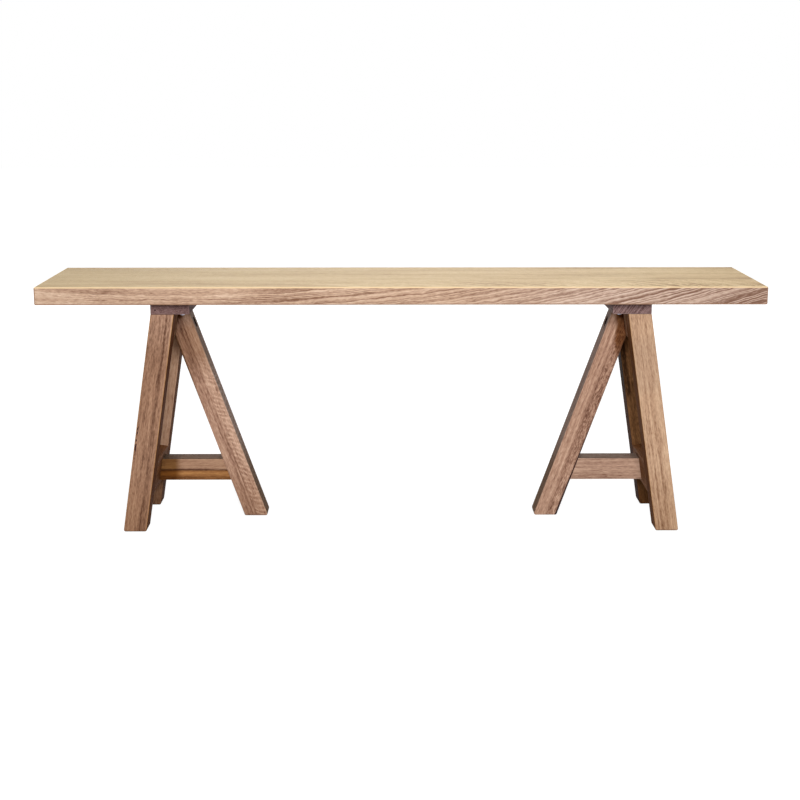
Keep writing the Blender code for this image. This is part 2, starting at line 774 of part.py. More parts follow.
def build_bench():
    """The seat boards and the two trestles."""
    clear_scene()
    finishes = {
        "seat_wood": material("seat_wood", (0.55, 0.40, 0.24), 0.55, 0.0),
        "leg_wood": material("leg_wood", (0.36, 0.21, 0.13), 0.6, 0.0),
        "bearer_wood": material("bearer_wood", (0.20, 0.11, 0.10), 0.65, 0.0),
        "tenon_beech": material("tenon_beech", (0.62, 0.44, 0.27), 0.7, 0.0),
        "zinc_steel": material("zinc_steel", (0.62, 0.64, 0.68), 0.35, 1.0),
        "dark_steel": material("dark_steel", (0.10, 0.08, 0.07), 0.45, 1.0),
        "insert_brass": material("insert_brass", (0.70, 0.52, 0.25), 0.4, 1.0),
    }
    boards = [
        build_board(index, name, finishes["seat_wood"])
        for index, name in enumerate(BOARD_NAMES)
    ]
    build_trestle("left", -1, boards, finishes)
    build_trestle("right", 1, boards, finishes)


build_bench()
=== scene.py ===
# %% [markdown]
# # A solid-wood dining bench
#
# The bench is a plank seat, glued up from three boards, on two trestles. Each trestle has two outer
# legs and two rails that lean outwards, a third leg that leans the other way, a stretcher between
# them, and a bearer that is bolted up into the seat. All of them come from the packed model, cut
# and jointed. What is left for this lesson is what makes them look like wood and steel: grain that
# runs along each stick, growth rings on the sawn ends, oil, light and a camera.
#
# The first cell clears Blender's starting scene and loads the packed model.

import json
import math

import bpy
from mathutils import Euler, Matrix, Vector

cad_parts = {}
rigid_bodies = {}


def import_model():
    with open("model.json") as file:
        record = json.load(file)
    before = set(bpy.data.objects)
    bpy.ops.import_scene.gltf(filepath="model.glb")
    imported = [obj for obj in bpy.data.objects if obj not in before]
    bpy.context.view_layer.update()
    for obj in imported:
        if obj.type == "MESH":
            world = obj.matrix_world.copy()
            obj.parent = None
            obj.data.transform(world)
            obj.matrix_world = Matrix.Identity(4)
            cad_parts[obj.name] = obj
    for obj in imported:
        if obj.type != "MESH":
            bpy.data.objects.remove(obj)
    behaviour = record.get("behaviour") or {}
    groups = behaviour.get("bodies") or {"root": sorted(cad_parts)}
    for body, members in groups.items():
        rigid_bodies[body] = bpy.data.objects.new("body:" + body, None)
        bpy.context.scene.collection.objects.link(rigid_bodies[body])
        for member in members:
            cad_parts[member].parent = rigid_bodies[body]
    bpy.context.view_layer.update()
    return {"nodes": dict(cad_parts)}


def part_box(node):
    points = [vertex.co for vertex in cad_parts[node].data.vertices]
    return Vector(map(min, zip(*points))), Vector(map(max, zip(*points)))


for thing in list(bpy.data.objects):
    bpy.data.objects.remove(thing, do_unlink=True)

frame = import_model()
bench = frame["nodes"]

# %% [markdown]
# ## The camera
#
# The photograph was taken from a little above the seat, almost square to the front. A camera has a
# place, a direction and a lens, and all three could be nudged by eye until the picture fits. The
# bench gives a surer way: the long edges of its seat stay nearly level and its ends run to one
# vanishing point, which fixes all three. The lens is a short telephoto, tipped down by eleven and
# a half degrees and turned by half a degree.

# %% Place the camera
LENS_MM = 71.05
SENSOR_MM = 36.0
CAMERA_PLACE = (-0.0245, -2.9244, 0.8165)
CAMERA_PITCH = 11.475
CAMERA_YAW = 0.4505
BENCH_MIDDLE = (0, 0, 0.25)

lens = bpy.data.cameras.new("bench_camera")
lens.lens = LENS_MM
lens.sensor_width = SENSOR_MM
camera = bpy.data.objects.new("bench_camera", lens)
camera.location = CAMERA_PLACE
camera.rotation_euler = Euler((math.radians(90 - CAMERA_PITCH), 0, math.radians(-CAMERA_YAW)))
bpy.context.scene.collection.objects.link(camera)
bpy.context.scene.camera = camera
bpy.context.scene.view_settings.view_transform = "Standard"
print(f"camera {math.dist(CAMERA_PLACE, BENCH_MIDDLE):.2f} m from the bench")

# %% [markdown]
# ## A notebook for finishes
#
# A finish is a small graph of shader nodes. Drawn by hand in the shader editor, it couldn't be
# repeated for each stick with other numbers, and written out in full each node takes five or six
# lines. This small class keeps one line per node. Every method adds a node, plugs in what it is
# given, and hands back the output socket, so a recipe reads as a list of steps.

# %% Write finishes one line per node
class Finish:
    """A material under construction: each method adds one node and returns its output."""

    def __init__(self, name):
        self.material = bpy.data.materials.new(name)
        self.material.use_nodes = True
        self.tree = self.material.node_tree
        self.shader = self.tree.nodes["Principled BSDF"]

    def feed(self, socket, value):
        """Plug an output into a socket, or set the socket to a plain value."""
        if isinstance(value, bpy.types.NodeSocket):
            self.tree.links.new(value, socket)
        else:
            socket.default_value = value

    def add(self, kind, inputs, output=0, **settings):
        """Any node: its settings first, then its inputs by number or by name."""
        made = self.tree.nodes.new(kind)
        for key, value in settings.items():
            setattr(made, key, value)
        for key, value in inputs.items():
            self.feed(made.inputs[key], value)
        return made.outputs[output]

    def maths(self, operation, first, second=0.0):
        """One sum on two numbers."""
        return self.add("ShaderNodeMath", {0: first, 1: second}, operation=operation)

    def plus(self, first, second):
        """Two numbers added."""
        return self.maths("ADD", first, second)

    def minus(self, first, second):
        """The second number taken from the first."""
        return self.maths("SUBTRACT", first, second)

    def times(self, first, second):
        """Two numbers multiplied."""
        return self.maths("MULTIPLY", first, second)

    def vector(self, operation, first, second=(0, 0, 0)):
        """One sum on two vectors."""
        return self.add("ShaderNodeVectorMath", {0: first, 1: second}, operation=operation)

    def length(self, vector):
        """How long a vector is."""
        return self.add("ShaderNodeVectorMath", {0: vector}, output="Value", operation="LENGTH")

    def split(self, vector):
        """The three numbers of a vector."""
        node = self.add("ShaderNodeSeparateXYZ", {0: vector}).node
        return node.outputs[0], node.outputs[1], node.outputs[2]

    def join(self, x, y, z):
        """A vector from three numbers."""
        return self.add("ShaderNodeCombineXYZ", {0: x, 1: y, 2: z})

    def place(self):
        """Where a point is on the bench, in metres."""
        return self.add("ShaderNodeTexCoord", {}, output="Object")

    def height(self):
        """How high a point is above the floor, in metres."""
        return self.split(self.place())[2]

    def facing(self):
        """Which way the surface faces."""
        return self.add("ShaderNodeTexCoord", {}, output="Normal")

    def noise(self, point, per_metre, detail=2.0, roughness=0.5):
        """Soft random clouds between 0 and 1, with so many lumps per metre in X, Y and Z."""
        stretched = self.vector("MULTIPLY", point, per_metre)
        inputs = {"Vector": stretched, "Scale": 1.0, "Detail": detail, "Roughness": roughness}
        return self.add("ShaderNodeTexNoise", inputs)

    def shove(self, point, per_metre, reach):
        """Push a point about at random by up to about this reach in X, Y and Z."""
        stretched = self.vector("MULTIPLY", point, per_metre)
        inputs = {"Vector": stretched, "Scale": 1.0, "Detail": 1.0}
        cloud = self.add("ShaderNodeTexNoise", inputs, output="Color")
        centred = self.vector("SUBTRACT", cloud, (0.5, 0.5, 0.5))
        return self.vector("ADD", point, self.vector("MULTIPLY", centred, reach))

    def rise(self, value, start, end, low, high):
        """A straight rise from low at the start to high at the end, and level beyond both."""
        return self.add("ShaderNodeMapRange", {0: value, 1: start, 2: end, 3: low, 4: high})

    def ease(self, value, start, end, low=0.0, high=1.0):
        """A smooth step: low before the start, high after the end. The start may be the larger."""
        inputs = {0: value, 1: start, 2: end, 3: low, 4: high}
        return self.add("ShaderNodeMapRange", inputs, interpolation_type="SMOOTHSTEP")

    def mixed(self, share, first, second, blend_type="MIX"):
        """Two colours mixed by a share between 0 and 1."""
        inputs = {0: share, 6: first, 7: second}
        return self.add("ShaderNodeMix", inputs, output=2, data_type="RGBA", blend_type=blend_type)

    def tinted(self, colour, tint):
        """A colour under a glaze: each of its three numbers is multiplied by the tint's."""
        return self.mixed(1.0, colour, tint, "MULTIPLY")

    def glazed(self, share, colour, tint):
        """A colour with the glaze laid on by a share between 0 and 1."""
        return self.mixed(share, colour, self.tinted(colour, tint))

    def tones(self, value, stops):
        """A colour for each value: stops are (place, colour) pairs with the place rising."""
        node = self.tree.nodes.new("ShaderNodeValToRGB")
        ramp = node.color_ramp
        while len(ramp.elements) < len(stops):
            ramp.elements.new(0.5)
        for element, (place, colour) in zip(ramp.elements, stops):
            element.position = place
            element.color = colour
        self.feed(node.inputs[0], value)
        return node.outputs[0]


print("methods of a finish:", sum(not name.startswith("_") for name in vars(Finish)))

# %% [markdown]
# ## Colours read off a screen
#
# A colour in a picture is stored to suit the eye, and a shader wants plain amounts of light. The
# stains below are easier to judge as numbers from 0 to 255, as a colour picker shows them, so a
# helper straightens them once, instead of each being worked out by hand.

# %% Read a stain
def stain(red, green, blue):
    """A colour as it is read off a screen, from 0 to 255, made linear for the shader."""
    def straighten(level):
        share = level / 255
        return share / 12.92 if share <= 0.04045 else ((share + 0.055) / 1.055) ** 2.4
    return (straighten(red), straighten(green), straighten(blue), 1.0)


print("a mid brown in linear light:", [round(c, 3) for c in stain(150, 113, 91)[:3]])

# %% [markdown]
# ## How a sawn stick gets its figure
#
# Wood is a stack of thin cones, one a year, round the middle of the tree. Sawing a stick out of it
# cuts through them, and that cut is what we see as figure: close lines on one face, arches on
# another, arcs on the ends. A flat picture of grain on each face would not meet at the corners. So
# the recipe rebuilds the tree inside each stick. It starts from the middle of the stick and turns
# until Z runs along the grain, and its three directions are called across, over and along. Because
# no trunk is straight, it then leans and bows a little.

# %% Stand inside a stick, with Z along its grain
GRAIN_ALONG_X = (0, -90, 0)
GRAIN_ALONG_Y = (90, 0, 0)


def leaning(degrees):
    """The turn for a stick whose top leans towards +X by this angle."""
    return (0, -degrees, 0)


def radians(turn):
    """Three angles in degrees, made radians."""
    return tuple(math.radians(angle) for angle in turn)


def inside_stick(finish, centre, turn):
    """A point as the stick sees it: measured from its middle and turned to its grain."""
    centred = finish.vector("SUBTRACT", finish.place(), centre)
    return finish.add("ShaderNodeMapping", {0: centred, 2: radians(turn)}, vector_type="POINT")


def grown_crooked(finish, point, slope, bow):
    """Lean and bow the grain: across gains slope times the length plus bow times its square."""
    across, over, along = finish.split(point)
    lean = finish.times(along, slope)
    curve = finish.times(finish.times(along, along), bow)
    return finish.join(finish.plus(across, finish.plus(lean, curve)), over, along)


def middle_of(name):
    """The middle of a piece's box."""
    low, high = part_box(name)
    return tuple((low + high) / 2)


print("the left stretcher's middle:", [round(c, 3) for c in middle_of("left_stretcher")])

# %% [markdown]
# ## The years
#
# A year is pale where the tree grew fast in spring and dark where it slowed down in late summer,
# so its mark rises slowly and drops at once. Blender's wave texture could draw rings, but evenly
# spaced and equally strong. Here the years are counted outwards from the tree's middle. An uneven
# count makes good years wide and bad ones narrow, and a soft cloud lets them fade in places.

# %% Count the years
YEARS_PER_LUMP = 0.43
UNEVEN_YEARS = 2.4
FADING_LUMPS = (16, 16, 3.5)
SEED_STEP = (0.37, 0.61, 1.73)


def plot(seed):
    """How far away in the noise a stick grew, in metres."""
    return tuple(step * seed for step in SEED_STEP)


def moved(finish, point, seed):
    """The same point in another stretch of noise, so that no two sticks look alike."""
    return finish.vector("ADD", point, plot(seed))


def year_marks(finish, point, pith, ring):
    """How dark the late wood is, from 0 to 1: it rises through each year and falls at its end."""
    outwards = finish.vector("SUBTRACT", point, (pith[0], pith[1], 0))
    flat = finish.vector("MULTIPLY", outwards, (1, 1, 0))
    years = finish.maths("DIVIDE", finish.length(flat), ring)
    inputs = {"W": years, "Scale": YEARS_PER_LUMP, "Detail": 1.0}
    uneven = finish.add("ShaderNodeTexNoise", inputs, noise_dimensions="1D")
    part = finish.maths("FRACT", finish.plus(years, finish.times(uneven, UNEVEN_YEARS)))
    return finish.times(finish.ease(part, 0.1, 0.85), finish.ease(part, 1.0, 0.87))


def years_that_fade(finish, point, pith, ring, seed):
    """Year marks that are strong in some places and nearly gone in others."""
    cloud = finish.noise(moved(finish, point, seed + 5), FADING_LUMPS, 2.0)
    strong = finish.ease(cloud, 0.32, 0.66, 0.35, 1.0)
    return finish.times(year_marks(finish, point, pith, ring), strong)


print(f"an uneven count runs up to {UNEVEN_YEARS / 2} years early or late")

# %% [markdown]
# ## Fibres, flecks and pores
#
# Everything smaller than a year is noise that is stretched along the grain: streaks as long as the
# stick, dashes, fibres, flecks of a centimetre, and pores. Painted dashes would need a picture for
# every face. Because this noise is solid, the same pores are dashes on the long faces and dots on
# the sawn ends, as in real wood.

# %% Draw fibres, flecks and pores
STREAK_LUMPS = (85, 85, 2.2)
DASH_LUMPS = (230, 230, 20)
FIBRE_LUMPS = (430, 430, 16)
FLECK_LUMPS = (460, 460, 110)
PORE_LUMPS = (1250, 1250, 75)
LAYER_LUMPS = (20, 20, 7)
LAYER_WANDER = (0.004, 0.0, 0.0)


def swing(finish, noise, strength):
    """A noise turned into a push that is as often up as down."""
    return finish.times(finish.minus(noise, 0.5), strength)


def wood_marks(finish, point, streaks, fibres, flecks):
    """The tone that streaks, fibres and flecks add, and the fibres alone for the bump."""
    streak = finish.noise(point, STREAK_LUMPS, 4.0, 0.6)
    dash = finish.noise(point, DASH_LUMPS, 3.0, 0.6)
    fibre = finish.noise(point, FIBRE_LUMPS, 3.0, 0.6)
    fleck = finish.noise(point, FLECK_LUMPS, 3.0, 0.6)
    long_marks = finish.plus(swing(finish, streak, 1.8 * streaks),
                             swing(finish, dash, 1.8 * streaks))
    tone = finish.plus(long_marks, swing(finish, fibre, 1.4 * fibres))
    return finish.plus(tone, swing(finish, fleck, 1.6 * flecks)), fibre


def open_pores(finish, point, strength):
    """Thin dark dashes where a pore is cut open: the peaks of a fine noise, and nothing else."""
    specks = finish.noise(point, PORE_LUMPS, 1.0, 0.4)
    return finish.times(finish.ease(specks, 0.58, 0.70), strength)


def layers(finish, point, width, stops):
    """The tone that broad, wandering layers add: stops are (share across, push) pairs."""
    across = finish.split(finish.shove(point, LAYER_LUMPS, LAYER_WANDER))[0]
    share = finish.rise(across, -width / 2, width / 2, 0.0, 1.0)
    greys = tuple((place, (push + 0.5, push + 0.5, push + 0.5, 1.0)) for place, push in stops)
    return finish.minus(finish.tones(share, greys), 0.5)


print(f"a fibre is about {1000 / FIBRE_LUMPS[0]:.1f} mm wide, a pore {1000 / PORE_LUMPS[0]:.1f} mm")

# %% [markdown]
# ## How wood is handled
#
# Four things make a stick look handled rather than printed. Sawn ends are darker, because they
# drink more oil. Arrises are paler, because they are rubbed, and a painted highlight there stands
# for the light that an eased edge catches. Pores are a little rougher than the wood between them,
# and the bump follows them. Ends and arrises could be painted on by hand for each piece. But a
# surface knows which way it faces, and that is enough: a flat face looks along one of the stick's
# own directions, and an arris looks between two.

# %% Tell a flat face, a sawn end and an arris apart
ARRIS_STARTS = 0.985
ARRIS_FULL = 0.955


def looks(finish, turn):
    """How far a face looks along each of the stick's directions, and straight up or down."""
    normal = finish.facing()
    turned = finish.add("ShaderNodeMapping", {0: normal, 2: radians(turn)}, vector_type="VECTOR")
    across, over, along = finish.split(finish.vector("ABSOLUTE", turned))
    upright = finish.split(finish.vector("ABSOLUTE", normal))[2]
    return across, over, along, upright


# An arris gets a pale colour: wear, and a painted highlight for the light an eased edge catches.
def worn_lit_arris(finish, turn, strength):
    """The strength on an arris, and nothing on a flat face."""
    across, over, along, upright = looks(finish, turn)
    wide = finish.maths("MAXIMUM", across, over)
    flattest = finish.maths("MAXIMUM", wide, finish.maths("MAXIMUM", along, upright))
    return finish.times(finish.ease(flattest, ARRIS_STARTS, ARRIS_FULL), strength)


def sawn_end(finish, turn):
    """One on a face that is cut across the grain."""
    return finish.ease(looks(finish, turn)[2], 0.80, 0.97)


def looks_up(finish, start=0.3, end=0.95):
    """One on a face that looks at the sky."""
    return finish.ease(finish.split(finish.facing())[2], start, end)


print(f"a face turned by {math.degrees(math.acos(ARRIS_FULL)):.0f} degrees counts as an arris")

# %% [markdown]
# ## One recipe for every wooden piece
#
# Each stick could have a material of its own, built from nothing. But the pieces differ in which
# tree and which part of it they came from, not in what wood is. So one function takes the stains,
# the place of the tree's middle, the width of the years and how lively the figure is, and each
# stick gets its own values. All marks add up to one tone, which picks a colour between a dark, a
# middle and a pale stain, so they never fight over the colour.

# %% Mix the timber recipe
WANDER_LUMPS = (7, 7, 2.4)
WANDER = (0.010, 0.010, 0)
WOBBLE_LUMPS = (110, 110, 36)
DRIFT_LUMPS = (11, 11, 2.6)
DRIFT = 0.7
STAIN_PLACES = (0.06, 0.48, 0.90)
END_STAIN = (0.62, 0.58, 0.57, 1.0)
STEP_LENGTH = 0.3
BUMP_STRENGTH = 0.35
BUMP_HEIGHT = 0.00025


def timber(name, centre, turn, stains, pith, ring, width=0.043, slope=0.0, bow=0.0, seed=1.0,
           rings=0.3, streaks=0.4, fibres=0.3, flecks=0.35, pores=0.4, wobble=0.0012, stops=None,
           figure=None, calm_top=0.0, livelier=(), end_stain=END_STAIN, arris=0.3,
           worn_lit_arris_colour=None, roughness=0.76, gloss=0.06, touch=None):
    """An oiled solid wood whose figure is cut through one tree.

    stains are the dark, middle and pale colours. pith is where the tree's middle runs, across
    the grain from the middle of the stick, in metres, and ring is the width of one year. rings,
    streaks, fibres, flecks and pores are strengths. livelier holds (place, before, after) steps
    along the stick, where the years change in strength. stops are broad layers, figure adds a
    tone of the stick's own, calm_top quiets the faces that look up, and touch has the last word
    on the colour.
    """
    finish = Finish(name)
    straight = inside_stick(finish, centre, turn)
    crooked = grown_crooked(finish, straight, slope, bow)
    wandering = finish.shove(moved(finish, crooked, seed), WANDER_LUMPS, WANDER)
    wavy = finish.shove(wandering, WOBBLE_LUMPS, (wobble, wobble, 0))
    home = finish.vector("SUBTRACT", wavy, plot(seed))

    tone, fibre = wood_marks(finish, wavy, streaks, fibres, flecks)
    late = years_that_fade(finish, home, pith, ring, seed)
    for place, before, after in livelier:
        along = finish.split(straight)[2]
        late = finish.times(late, finish.ease(along, place, place + STEP_LENGTH, before, after))
    tone = finish.minus(tone, finish.times(late, rings))
    tone = finish.plus(tone, swing(finish, finish.noise(wandering, DRIFT_LUMPS, 2.0), DRIFT))
    if stops:
        tone = finish.plus(tone, layers(finish, straight, width, stops))
    if figure:
        tone = finish.plus(tone, figure(finish, straight, width))
    if calm_top:
        tone = finish.times(tone, finish.minus(1.0, finish.times(looks_up(finish), calm_top)))
    tone = finish.plus(tone, 0.5 + 0.3 * rings)
    colour = finish.tones(tone, list(zip(STAIN_PLACES, stains)))

    pore = open_pores(finish, wavy, pores)
    colour = finish.mixed(pore, colour, stains[0])
    colour = finish.glazed(sawn_end(finish, turn), colour, end_stain)
    # Paler arrises: wear, and a painted highlight.
    colour = finish.mixed(worn_lit_arris(finish, turn, arris), colour, worn_lit_arris_colour or stains[2])
    if touch:
        colour = touch(finish, colour, straight, width)
    finish.feed(finish.shader.inputs["Base Color"], colour)

    satin = finish.ease(fibre, 0.3, 0.7, roughness + 0.06, roughness - 0.05)
    rough = finish.plus(satin, finish.times(pore, 0.2))
    finish.feed(finish.shader.inputs["Roughness"], rough)
    height = finish.minus(finish.times(fibre, 0.5), pore)
    relief = {"Strength": BUMP_STRENGTH, "Distance": BUMP_HEIGHT, "Height": height}
    finish.feed(finish.shader.inputs["Normal"], finish.add("ShaderNodeBump", relief))
    finish.shader.inputs["Specular IOR Level"].default_value = gloss
    return finish.material


finished = set()


def dress(material, *names):
    """Put a finish in the slot of each of these pieces of the bench."""
    for name in names:
        bench[name].material_slots[0].material = material
        finished.add(name)


print("pieces that wait for a finish:", len(bench))

# %% [markdown]
# ## The seat
#
# The seat is a pale tan hardwood. Its front edge shows the years side-on: wavy and level at the
# left end, and rising more and more steeply towards the right, where the tree bent. Those lines
# could be drawn one by one, but the slope and bow of the recipe give them, and they turn the
# corners by themselves. The top gets painted light: it is yellower than the edges, and lighter
# towards the right. A thin pale line runs along the front arris, where the finish has been rubbed
# through, with a painted highlight on it, and the lower arrises get painted shade.

# %% Shade the seat
SEAT_STAINS = (stain(122, 88, 69), stain(187, 155, 131), stain(216, 189, 165))
SEAT_END_STAIN = (0.80, 0.76, 0.72, 1.0)
# The top arris colour is wear with a painted highlight, the low one is painted shade, and the
# yellow tint is painted light on the top.
SEAT_ARRIS_WEAR_HIGHLIGHT = stain(228, 202, 160)
SEAT_LOW_ARRIS_SHADE = stain(160, 122, 96)
TOP_LIGHT_TINT = (1.01, 1.12, 0.94, 1.0)
COOLER = (1.0, 1.06, 1.18, 1.0)
SEAT_WAVES = (150, 150, 42)


def lit_top_and_arrises(finish, colour, straight, width):
    """Paint light on the top, yellower and lighter towards the right, and cool the edges there.
    The top arrises get a pale line, wear with a painted highlight, and the lower ones painted
    shade.
    """
    along = finish.split(straight)[2]
    gain = finish.rise(along, -0.5, 0.5, 0.91, 1.08)
    top_light_tinted = finish.tinted(finish.tinted(colour, TOP_LIGHT_TINT), finish.join(gain, gain, gain))
    edges = finish.glazed(finish.ease(along, 0.05, 0.40), colour, COOLER)
    lit_top_mix = finish.mixed(looks_up(finish), edges, top_light_tinted)
    arris = worn_lit_arris(finish, GRAIN_ALONG_X, 0.85)
    edge = finish.mixed(looks_up(finish, 0.25, 0.45), SEAT_LOW_ARRIS_SHADE, SEAT_ARRIS_WEAR_HIGHLIGHT)
    return finish.mixed(arris, lit_top_mix, edge)


def duller_near(finish, off, near, far, push):
    """A push within the near distance of a place, easing to nothing at the far one."""
    return finish.ease(finish.maths("ABSOLUTE", off), near, far, push, 0.0)


def level_bands(finish, point, width):
    """Two dark wavy bands at the left end, and two duller stretches of the whole edge."""
    across, over, along = finish.split(finish.shove(point, SEAT_WAVES, (0.007, 0.0, 0.0)))
    upper = finish.ease(across, -0.36 * width, -0.46 * width)
    off_the_line = finish.maths("ABSOLUTE", finish.minus(across, 0.2 * width))
    lower = finish.ease(off_the_line, 0.0032, 0.0004)
    both = finish.plus(finish.times(upper, 0.08), finish.times(lower, 0.12))
    bands = finish.times(both, finish.ease(along, 0.05, -0.35, 0.0, -1.0))
    left = duller_near(finish, finish.plus(along, 0.33), 0.08, 0.26, -0.17)
    right = duller_near(finish, finish.minus(along, 0.19), 0.02, 0.14, -0.10)
    return finish.plus(bands, finish.plus(left, right))


print("linear colour of the seat's middle stain:", [round(c, 3) for c in SEAT_STAINS[1][:3]])

# %% Finish the seat boards
SEAT_THICKNESS = 0.032
SEAT_STEPS = ((-0.5, 0.75, 1.0), (0.22, 1.0, 1.9))

# Name, tree's middle, year, slope, bow, seed and figure of each board.
SEAT_BOARDS = (
    ("seat_front_board", (-0.21, -0.07), 0.0056, 0.12, 0.15, 1.0, level_bands),
    ("seat_middle_board", (-0.14, 0.16), 0.0070, 0.02, -0.02, 4.0, None),
    ("seat_rear_board", (-0.17, 0.15), 0.0066, -0.03, 0.03, 7.0, None),
)
for name, pith, ring, slope, bow, seed, figure in SEAT_BOARDS:
    dress(timber(f"{name}_wood", middle_of(name), GRAIN_ALONG_X, SEAT_STAINS, pith, ring,
                 width=SEAT_THICKNESS, slope=slope, bow=bow, seed=seed, rings=0.48, streaks=0.16,
                 flecks=0.5, wobble=0.006, figure=figure, calm_top=0.5, livelier=SEAT_STEPS,
                 end_stain=SEAT_END_STAIN, arris=0.0, roughness=0.68, gloss=0.08,
                 touch=lit_top_and_arrises), name)
print("seat boards finished:", len(SEAT_BOARDS))

# %% [markdown]
# ## Measures of the trestle
#
# Some marks belong to a place on the bench, such as the corner under a bearer. The mesh could be
# searched for it, but a few measures are easier to read: the leans in degrees, and in metres the
# width of a leg, the height of its top, and how far the upper rail's inner face and the third leg's
# inner side are from the middle of the bench at that height.

# %% Measure the trestle
OUTER_LEAN = 8.7
INNER_LEAN = 19.7
LEG_WIDTH = 0.0415
LEG_TOP = 0.4034
RAIL_FACE_TOP = 0.4128
THIRD_LEG_INNER_TOP = 0.398

spread = LEG_TOP * math.tan(math.radians(OUTER_LEAN))
print(f"an outer leg's foot stands {spread * 1000:.0f} mm further out than its top")

# %% [markdown]
# ## Ripple, mottle and a painted shadow
#
# No two legs are alike. The left third leg has a rippled side, as its fibres grew in waves. The
# right one is mottled with short dark flecks, and the right rear leg has a band of painted shadow
# down its inner side, where the third leg keeps the light off. The fibres themselves could be bent,
# as in the tree, but a tone of its own is easier to steer: its spacing, its strength and the part
# of the leg that it covers each have a number.

# %% Draw ripple, mottle and a painted shadow
RIPPLE_TURN = 640.0
RIPPLE_BEND = 16.0
RIPPLE_STRENGTH = 0.44
RIPPLE_LUMPS = (45, 45, 30)
PATCH_LUMPS = (170, 170, 60)
MOTTLE_LUMPS = (520, 520, 170)


def ripple(finish, point, width):
    """Light bands across the grain: a sine with noise in it, and a power for narrow crests."""
    across, over, along = finish.split(point)
    bent = finish.noise(point, RIPPLE_LUMPS, 2.0)
    slanted = finish.plus(along, finish.times(across, 0.75))
    turns = finish.plus(finish.times(slanted, RIPPLE_TURN), finish.times(bent, RIPPLE_BEND))
    wave = finish.plus(finish.times(finish.maths("SINE", turns), 0.5), 0.5)
    crest = finish.maths("POWER", wave, 2.0)
    side = finish.ease(across, -0.03 * width, 0.12 * width)
    low = finish.ease(along, 0.13, 0.05)
    patch = finish.ease(finish.noise(point, PATCH_LUMPS, 2.0), 0.36, 0.58)
    strength = finish.times(finish.times(side, patch), finish.times(low, RIPPLE_STRENGTH))
    return finish.times(finish.minus(crest, 0.35), strength)


def mottle(finish, point, width):
    """Short dark flecks that crowd the outer half of the leg."""
    side = finish.ease(finish.split(point)[0], 0.0, 0.2 * width)
    return finish.times(swing(finish, finish.noise(point, MOTTLE_LUMPS, 2.0, 0.6), 1.5), side)


def third_leg_shadow_band(finish, point, width):
    """A painted shadow of the third leg: a dark band down the inner half, from the top to half way.
    """
    across, over, along = finish.split(point)
    side = finish.times(finish.ease(across, -0.008, -0.014), finish.ease(along, -0.01, 0.06))
    return finish.times(side, -0.35)


print(f"ripples lie {2000 * math.pi / RIPPLE_TURN:.1f} mm apart")

# %% [markdown]
# ## Sides and feet
#
# Under the seat the inner sides of the legs get painted shade, darker and browner than their
# fronts, for the light that the seat and the other legs keep off them. The feet are darker towards
# the floor, with a nearly black rim at the sole, a painted contact shadow. Ambient occlusion finds
# such places by itself, but only roughly, and other renderers lose it. Here a side is found by the
# way it faces, a foot by its height in metres, and each gets a glaze.

# %% Shade the sides and the feet
# Painted shade for the inner sides, and a painted contact shadow at the sole.
INNER_SIDE_SHADE = (0.26, 0.14, 0.05, 1.0)
# A painted sheen and painted shade for the third leg's narrow inner side.
NARROW_SIDE_SHEEN = (0.78, 0.88, 1.0, 1.0)
NARROW_SIDE_SHADE = (0.42, 0.40, 0.34, 1.0)
LOW_DARKENING = (0.84, 0.80, 0.75, 1.0)
SOLE_SHADOW = stain(62, 38, 26)


def looks_inward(finish):
    """One on a face that looks at the middle of the bench, nothing on the arrises beside it."""
    place = finish.split(finish.place())[0]
    facing = finish.split(finish.facing())[0]
    return finish.ease(finish.times(facing, finish.maths("SIGN", place)), -0.75, -0.93)


def narrow_side(finish, colour):
    """The third leg's inner side: a painted grey sheen above, and painted brown shade near the
    floor.
    """
    low = finish.ease(finish.height(), 0.16, 0.09)
    side = finish.mixed(low, finish.tinted(colour, NARROW_SIDE_SHEEN), finish.tinted(colour, NARROW_SIDE_SHADE))
    return finish.mixed(looks_inward(finish), colour, side)


def darker_foot(finish, colour):
    """Darken the last hand's breadth above the floor, and paint a contact shadow at the sole."""
    height = finish.height()
    low_darkened = finish.glazed(finish.ease(height, 0.15, 0.0), colour, LOW_DARKENING)
    return finish.mixed(finish.ease(height, 0.0026, 0.0008, 0.0, 0.6), low_darkened, SOLE_SHADOW)


def shaded_leg(finish, colour):
    """An outer leg: painted shade on its inner side, and darker towards the foot."""
    shaded = finish.glazed(looks_inward(finish), colour, INNER_SIDE_SHADE)
    return darker_foot(finish, shaded)


print("a pooled side keeps", INNER_SIDE_SHADE[:3], "of its red, green and blue")

# %% [markdown]
# ## The crook and the counterbore
#
# A third leg is bolted to the upper rail through a deep counterbore, and the wall of the hole
# gets painted shade, for the dark inside it. Where the leg beds on the rail there is painted shade
# too, and deeper painted shade in the corner under the bearer. Small dark meshes could stand in for
# all three, but colour needs no new piece. The distance from the rail's face finds the crook, and
# the wall of the hole is the only surface near the top of the leg that lies inside all four faces.

# %% Paint shade into the crook and the counterbore
COUNTERBORE_RADIUS = 0.0100
# Three glazes of painted shade: the crook, the corner under the bearer, the counterbore's wall.
CROOK_SHADE = (0.60, 0.52, 0.40, 1.0)
CORNER_SHADE = (0.30, 0.18, 0.08, 1.0)
COUNTERBORE_SHADE = stain(30, 18, 11)


def from_the_rail(finish):
    """How far a point is from the upper rail's leaning inner face, in metres along the bench."""
    x, y, z = finish.split(finish.place())
    outwards = finish.times(finish.minus(LEG_TOP, z), math.tan(math.radians(OUTER_LEAN)))
    return finish.minus(finish.plus(RAIL_FACE_TOP, outwards), finish.maths("ABSOLUTE", x))


